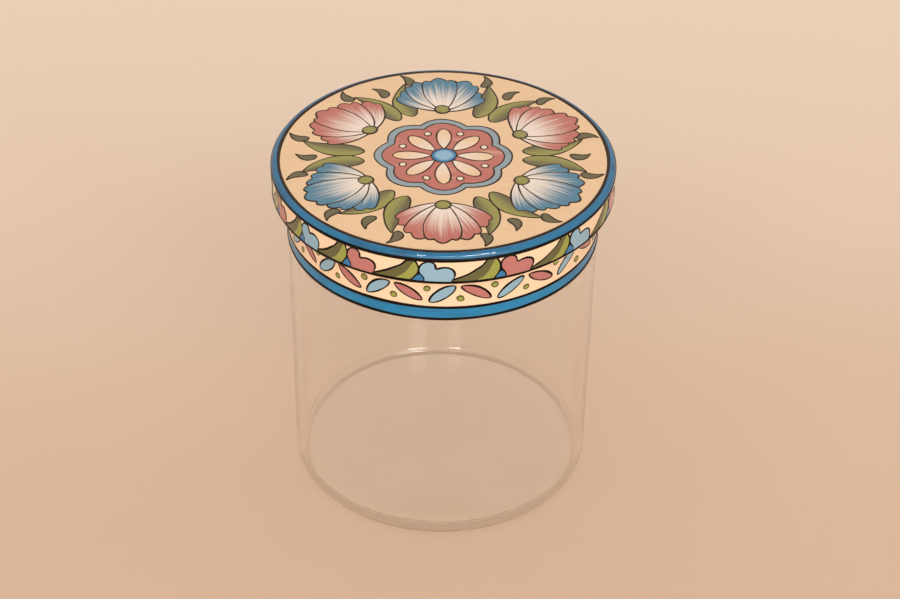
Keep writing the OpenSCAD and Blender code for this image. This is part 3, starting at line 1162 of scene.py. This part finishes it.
class JAR_OT_mouth_border(Border, bpy.types.Operator):
    """Paints the petals and dots round the glass mouth"""

    bl_idname = "jar.mouth_border"
    bl_label = "Mouth border"

    def execute(self, context):
        self.colours, self.borders = context.scene.jar_colours, context.scene.jar_borders
        count = self.borders.mouth_repeats
        self.set_out(count, BAND_R, STRIPE_TOP, BAND_TOP, MOUTH_START_SHARE, MOUTH_DRIFT)
        self.pink, self.blue, self.dots, self.lines, self.dot_lines = (Film() for _ in range(5))
        for k in range(count):
            bow = BOW_CHANGE * sin(2.4 * k)
            pink_fuller, blue_fuller = 0.08 * sin(1.7 * k), 0.06 + 0.14 * cos(tau * (k + 0.5) / 5)
            self.petal(self.pink, k, PINK_PETAL_SHARES, PINK_END, PINK_BOW + bow, pink_fuller)
            self.petal(self.blue, k, BLUE_PETAL_SHARES, BLUE_END, BLUE_BOW - bow, blue_fuller)
            self.pair_of_dots(k, context.scene.jar_brush.line_w)
        self.pieces()
        return {"FINISHED"}

    def petal(self, film, k, shares, end, bow, fuller):
        """One petal with its outline. fuller is how much wider it is, as a share of its width."""
        base, tip = self.spot(k, shares)
        grid = petal(base, tip, self.borders.petal_w * (1 + fuller), end, end, bow)
        film.lay(self.place, grid, FIRST_LEVEL, k)
        self.lines.line(self.place, edge_of(grid), FIRST_LINE_LEVEL, seed=k, heavy=PETAL_HEAVY)

    def pair_of_dots(self, k, line_w):
        """The two dots of repeat k, over and under its petals, each with a fine outline."""
        width = DOT_LINE_SHARE * line_w
        for n, middle in enumerate(self.spot(k, DOT_SHARES)):
            ring = circle(middle, self.borders.dot_r * (1 + 0.1 * sin(3 * k + n)))
            self.dots.lay(self.place, spread(middle, ring, 5), FIRST_LEVEL, k + n / 2, wraps=True)
            self.dot_lines.line(self.place, ring, FIRST_LINE_LEVEL, width, seed=k + n, heavy=DOT_HEAVY)

    def pieces(self):
        """Makes the border's pieces, each of its own paint."""
        colours = self.colours
        pink = one_paint("AcrylicPinkPetal", colours.border_pink, 0.8, (1, 5))
        blue = one_paint("AcrylicBluePetal", colours.light_blue, 0.85, (1, 5))
        green = motif_paint("AcrylicGreenDot", colours.leaf_green, colours.olive, (1, 0), 0.3, 1.2)
        ink, olive = ink_paint("InkMouth", colours.ink), ink_paint("InkOlive", colours.olive_ink)
        self.pink.piece("mouth_pink_petals", pink, "jar", "pink_paint")
        self.blue.piece("mouth_blue_petals", blue, "jar", "light_blue_paint")
        self.dots.piece("mouth_dots", green, "jar", "olive_paint")
        self.lines.piece("mouth_outlines", ink, "jar", "outline_paint")
        self.dot_lines.piece("mouth_dot_outlines", olive, "jar", "olive_paint")


# The medallion on the lid's top: its blossoms, with a pair of long leaves between each two, and
# the petals of each blossom
BLOSSOMS = 6
FAN_PETALS = 5
# How far the outer petals turn away from the middle one, in radians, and how much shorter they
# are. How uneven all are in length, and how wide. These are shares of a petal's length
FAN_SPREAD = 0.85
FAN_FALL_SHARE = 0.18
FAN_UNEVEN_SHARE = 0.03
FAN_WIDTH_SHARE = 0.56
# A blossom's hub: how far out its middle is and its radius, as shares of the blossom's height
HUB_OUT_SHARE, HUB_R_SHARE = 0.05, 0.11
# The flower on the field: radius of its hub, length of its petals, radius of the ring that its
# dots lie on and of the dots, as shares of the field's radius
FLOWER_HUB_SHARE = 0.2
FLOWER_PETAL_SHARE = 0.62
DOT_RING_SHARE, DOT_R_SHARE = 0.72, 0.06
# Width of the flower's petals, as a share of their length
FLOWER_WIDTH_SHARE = 0.42
# How far a motif on the top strays from its even place, in radians
HAND_TURN = 0.03
# Where a pair of long leaves ends, and how its tips bow and hook, as shares of a leaf's length
LEAF_TIP_SHARES = (1.0, 0.36)
LEAF_ROOT_SHARE = 0.13
LEAF_BOW_SHARE = -0.05
LEAF_HOOK_SHARE = 0.12
# The small leaves: how far round from the long ones, in radians, and the radius they start at
SMALL_LEAVES = ((0.0, 38 * MM), (0.24, 42 * MM), (-0.24, 42 * MM))
# How many layers of paint each shape lies above the ground. Of a blossom's petals the middle one
# lies highest, and of a pair of leaves the left one
LEAF_LEVEL, PAIR_STEP = 0.8, 0.3
FIELD_BORDER_LEVEL, FIELD_LEVEL, FLOWER_LEVEL, FLOWER_HUB_LEVEL = 1, 1.7, 2.4, 3.2
FAN_LEVEL, FAN_LEVEL_FALL, FAN_HUB_LEVEL = 2.9, 1.2, 3.6
# The top is outlined with a slightly finer brush than the borders
FINE_SHARE = 0.95


class JAR_OT_medallion(bpy.types.Operator):
    """Paints the round medallion on the lid's top"""

    bl_idname = "jar.medallion"
    bl_label = "Medallion"

    def execute(self, context):
        self.sizes, self.colours = context.scene.jar_medallion, context.scene.jar_colours
        self.lines = Film()
        self.leaves()
        self.blossoms()
        self.field()
        ink = ink_paint("InkTop", self.colours.brown_ink)
        self.lines.piece("lid_top_outlines", ink, "lid", "outline_paint")
        return {"FINISHED"}

    def shape(self, film, grid, level, seed, wraps=False):
        """Lays one shape and draws its outline."""
        film.lay(on_top, grid, level, seed, wraps)
        outline = grid[-1] if wraps else edge_of(grid)
        width = FINE_SHARE * bpy.context.scene.jar_brush.line_w
        self.lines.line(on_top, outline, level + OUTLINE_OVER, width, seed=seed)

    def field(self):
        """The pink field with its grey-blue border, and the cream flower on it."""
        sizes, colours = self.sizes, self.colours
        border, field = Film(), Film()
        outer = lobed_circle(sizes.field_r + sizes.border_w, sizes.lobe_h, sizes.lobes)
        inner = lobed_circle(sizes.field_r, sizes.lobe_h, sizes.lobes)
        self.shape(border, spread((0, 0), outer, 30), FIELD_BORDER_LEVEL, 0.0, wraps=True)
        self.shape(field, spread((0, 0), inner, 30), FIELD_LEVEL, 0.0, wraps=True)
        pink = coat_paint("AcrylicPinkField", colours.pink, colours.pale_pink, TOP_RUN, 0.35)
        grey = coat_paint("AcrylicGreyBlue", colours.grey_blue, toned(colours.grey_blue, 0.85), TOP_RUN)
        border.piece("lid_top_field_border", grey, "lid", "light_blue_paint")
        field.piece("lid_top_field", pink, "lid", "pink_paint")
        self.flower(sizes.field_r, sizes.lobes)

    def flower(self, field_r, count):
        """The cream flower: petals round a blue hub, and a dot between each two of them."""
        colours = self.colours
        cream, hub = Film(), Film()
        petal_l, hub_r = FLOWER_PETAL_SHARE * field_r, FLOWER_HUB_SHARE * field_r
        for k in range(count):
            grid = petal((0, 0), (petal_l, 0), FLOWER_WIDTH_SHARE * petal_l, 0.9, 0.6)
            self.shape(cream, turned_by(grid, k * tau / count, hub_r), FLOWER_LEVEL, k)
            middle = turned_by(np.zeros(2), (k + 0.5) * tau / count, DOT_RING_SHARE * field_r)
            dot = spread(middle, circle(middle, DOT_R_SHARE * field_r), 5)
            self.shape(cream, dot, FLOWER_LEVEL, k + 0.5, wraps=True)
        self.shape(hub, spread((0, 0), circle((0, 0), hub_r)), FLOWER_HUB_LEVEL, 0.0, wraps=True)
        white, pale_blue = colours.petal_white, colours.light_blue
        petal_paint = motif_paint(
            "AcrylicCreamPetal", white, colours.cream, (1, 0), 0.0, 0.9, (1, 6), feather=0.4
        )
        hub_paint = motif_paint("AcrylicHubBlue", pale_blue, colours.bud_blue, (1, 0), 0.3, 0.7)
        cream.piece("lid_top_cream_petals", petal_paint, "lid", "cream_paint")
        hub.piece("lid_top_hub", hub_paint, "lid", "blue_paint")

    def blossoms(self):
        """Fan blossoms round the field, blue and pink by turns."""
        sizes, colours = self.sizes, self.colours
        films, hubs = {"blue": Film(), "pink": Film()}, Film()
        for k in range(BLOSSOMS):
            angle = k * tau / BLOSSOMS - pi / 2 + HAND_TURN * sin(2.7 * k)
            self.fan(films["blue" if k % 2 else "pink"], angle, k)
            out = np.array([HUB_OUT_SHARE * sizes.blossom_h, 0])
            middle = turned_by(out, angle, sizes.blossom_from)
            hub = spread(middle, circle(middle, HUB_R_SHARE * sizes.blossom_h), 5)
            self.shape(hubs, hub, FAN_HUB_LEVEL, k, wraps=True)
        for colour, tip, slot in (
            ("blue", colours.flower_blue, "light_blue_paint"),
            ("pink", colours.pink, "pink_paint"),
        ):
            name, white = f"AcrylicStreaked_{colour}", colours.petal_white
            paint = motif_paint(name, white, tip, (1, 0), 0.3, 0.78, (1.1, 17), feather=0.7)
            films[colour].piece(f"lid_top_{colour}_blossoms", paint, "lid", slot)
        green, olive = colours.warm_green, colours.warm_olive
        hub_paint = motif_paint("AcrylicGreenHub", green, olive, (1, 0), 0.2, 1.2)
        hubs.piece("lid_top_blossom_hubs", hub_paint, "lid", "olive_paint")

    def fan(self, film, angle, seed):
        """One blossom: petals spread like a fan, the middle one on top."""
        sizes = self.sizes
        middle = (FAN_PETALS - 1) / 2
        for k in sorted(range(FAN_PETALS), key=lambda k: -abs(k - middle)):
            aside = (k - middle) / middle
            fall = FAN_FALL_SHARE * abs(aside) ** 1.5
            painted_light_change = FAN_UNEVEN_SHARE * sin(1.9 * seed + 2.3 * k)
            height = sizes.blossom_h * (1 - fall + painted_light_change)
            grid = fan_petal(height, FAN_WIDTH_SHARE * height, 2)
            lean = aside * FAN_SPREAD + HAND_TURN * sin(1.3 * seed + 1.7 * k)
            grid = turned_by(turned_by(grid, lean), angle, sizes.blossom_from)
            level = FAN_LEVEL - FAN_LEVEL_FALL * abs(aside)
            self.shape(film, grid, level, seed * FAN_PETALS + k)

    def leaves(self):
        """Pairs of two-tone leaves between the blossoms, with small dark leaves near the rim."""
        sizes, green, olive = self.sizes, self.colours.warm_green, self.colours.warm_olive
        long, small = Film(), Film()
        for k in range(BLOSSOMS):
            angle = k * tau / BLOSSOMS + HAND_TURN * sin(2.3 * k + 1)
            for side in (1, -1):
                grid = turned_by(self.long_leaf(side), angle, sizes.leaf_from)
                self.shape(long, grid, LEAF_LEVEL + PAIR_STEP * side, 2 * k + side)
            for n, (round_by, start) in enumerate(SMALL_LEAVES):
                grid = self.small_leaf(1 if (k + n) % 2 else -1)
                self.shape(small, turned_by(grid, angle + round_by, start), LEAF_LEVEL, 2 * k + n)
        two_sided = motif_paint("AcrylicTopLeaf", green, olive, (0.1, 1), 0.2, 0.95, (1, 7), 0.35)
        long.piece("lid_top_leaves", two_sided, "lid", "olive_paint")
        dark = one_paint("AcrylicSmallLeaf", olive, 1.3)
        small.piece("lid_top_small_leaves", dark, "lid", "olive_paint")

    def long_leaf(self, side):
        """One leaf of a pair, the left one for a side of 1 and the right one for -1."""
        full = self.sizes.leaf_l
        base = (0, side * LEAF_ROOT_SHARE * full)
        tip = (LEAF_TIP_SHARES[0] * full, side * LEAF_TIP_SHARES[1] * full)
        bow, hook = side * LEAF_BOW_SHARE * full, side * LEAF_HOOK_SHARE * full
        grid = petal(base, tip, self.sizes.leaf_w, 0.6, 1.0, bow, hook, columns=21)
        return grid if side > 0 else grid[:, ::-1]

    def small_leaf(self, side):
        """One small leaf, which bows to its left for a side of 1 and to its right for -1."""
        full = self.sizes.small_leaf_l
        bow = LEAF_HOOK_SHARE * full * side
        return petal((0, 0), (full, 0), self.sizes.small_leaf_w, 0.5, 1.0, bow, -2 * bow)


class JAR_PT_panel(bpy.types.Panel):
    """Lists the jar's operators and settings"""

    bl_idname = "JAR_PT_panel"
    bl_label = "Painted glass jar"
    bl_space_type = "VIEW_3D"
    bl_region_type = "UI"
    bl_category = "Jar"

    def draw(self, context):
        """Draws a button for each operator, and a box for each group of settings."""
        for made in OPERATORS:
            self.layout.operator(made.bl_idname)
        for name, group in SETTINGS.items():
            box = self.layout.box()
            for prop in group.__annotations__:
                box.prop(getattr(context.scene, name), prop)


OPERATORS = (
    JAR_OT_stage,
    JAR_OT_glass,
    JAR_OT_lid_wood,
    JAR_OT_seal,
    JAR_OT_coats,
    JAR_OT_ring_lines,
    JAR_OT_side_border,
    JAR_OT_mouth_border,
    JAR_OT_medallion,
)
SETTINGS = {
    "jar_brush": JarBrushSizes,
    "jar_borders": JarBorderSizes,
    "jar_medallion": JarMedallionSizes,
    "jar_colours": JarColours,
    "jar_stage": JarStageSizes,
}


def register():
    """Registers the classes, and gives the scene its settings."""
    for made in (*SETTINGS.values(), *OPERATORS, JAR_PT_panel):
        bpy.utils.register_class(made)
    for name, group in SETTINGS.items():
        setattr(bpy.types.Scene, name, PointerProperty(type=group))


def unregister():
    """Takes back all that register made."""
    for name in SETTINGS:
        delattr(bpy.types.Scene, name)
    for made in reversed((*SETTINGS.values(), *OPERATORS, JAR_PT_panel)):
        bpy.utils.unregister_class(made)


def main():
    """Registers the add-on, and makes everything in order."""
    register()
    for made in OPERATORS:
        group, name = made.bl_idname.split(".")
        getattr(getattr(bpy.ops, group), name)()


if __name__ == "__main__":
    main()
